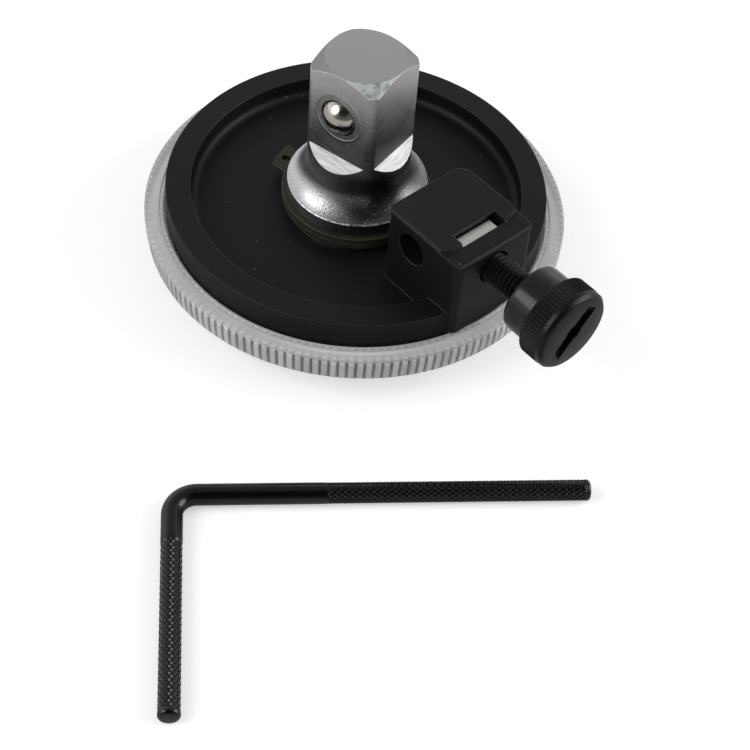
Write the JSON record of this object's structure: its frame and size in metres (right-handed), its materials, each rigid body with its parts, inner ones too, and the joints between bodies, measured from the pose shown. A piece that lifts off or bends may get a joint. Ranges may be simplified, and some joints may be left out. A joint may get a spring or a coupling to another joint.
{
  "type": "torque angle gauge",
  "caption": "Round angle gauge with a square drive through its middle, a fluted clear cover, a rod clamp with a thumbscrew and a loose L-shaped reaction rod.",
  "frame": {"origin": "drive axis at the front end of the hub, where the female square opens and the gauge rests", "axes": "+Z along the drive towards the male square; +X along the clamp screw towards its head; the rod bore runs along Y"},
  "size_m": [0.0963, 0.1125, 0.0399],
  "materials": {
    "black_plastic": "moulded black plastic with a fine satin grain",
    "plated_steel": "satin plated steel with turning and milling marks",
    "ball_steel": "polished steel",
    "spring_steel": "bright spring steel",
    "phosphated_steel": "oiled phosphate finish",
    "pointer_red": "red plastic",
    "friction_fibre": "plain fibre sheet",
    "clear_plastic": "clear moulded plastic, slightly hazy",
    "dial_white": "white plate with a printed degree scale",
    "zinc_steel": "bright zinc plate",
    "pad_brass": "turned brass",
    "black_steel": "black oxide with a satin sheen",
    "black_gloss_steel": "glossy black finish"
  },
  "bodies": {
    "housing": {"body_housing": "black_plastic", "square_nut": "zinc_steel"},
    "spindle": {"drive_spindle": "plated_steel", "retaining_ring": "phosphated_steel", "flat_washer": "phosphated_steel", "wave_washer": "spring_steel", "pointer": "pointer_red", "front_friction_washer": "friction_fibre", "detent_spring": "spring_steel"},
    "dial": {"clear_cover": "clear_plastic", "dial_plate": "dial_white", "rear_friction_washer": "friction_fibre"},
    "detent": {"detent_ball": "ball_steel"},
    "pad": {"screw_pad": "pad_brass"},
    "thumbscrew": {"clamp_stud": "black_steel", "clamp_knob": "black_steel"},
    "rod": {"reaction_rod": "black_gloss_steel"}
  },
  "joints": [
    {"name": "spindle_turn", "type": "hinge", "parent": "housing", "child": "spindle", "pos_m": [0, 0, 0.012], "axis": [0, 0, 1], "continuous": true},
    {"name": "dial_zero", "type": "hinge", "parent": "housing", "child": "dial", "pos_m": [0, 0, 0.008], "axis": [0, 0, 1], "continuous": true},
    {"name": "detent_press", "type": "slide", "parent": "spindle", "child": "detent", "axis": [0.225, -0.9744, 0], "range_m": [-0.0014, 0], "stiffness_N_per_m": 3000, "springref_m": 0.0015, "deforming": ["detent_spring"]},
    {"name": "clamp_feed", "type": "slide", "parent": "housing", "child": "pad", "axis": [1, 0, 0], "range_m": [-0.0045, 0.0015]},
    {"name": "clamp_turn", "type": "hinge", "parent": "pad", "child": "thumbscrew", "pos_m": [0.0385, 0, 0.02029], "axis": [1, 0, 0], "range_deg": [-2030, 680]},
    {"name": "rod_lift", "type": "slide", "parent": "housing", "child": "rod", "axis": [0, 0, 1], "range_m": [0, 0.06]}
  ],
  "couplings": [
    {"joint": "clamp_turn", "follows": "clamp_feed", "rad_per_m": 7854}
  ]
}
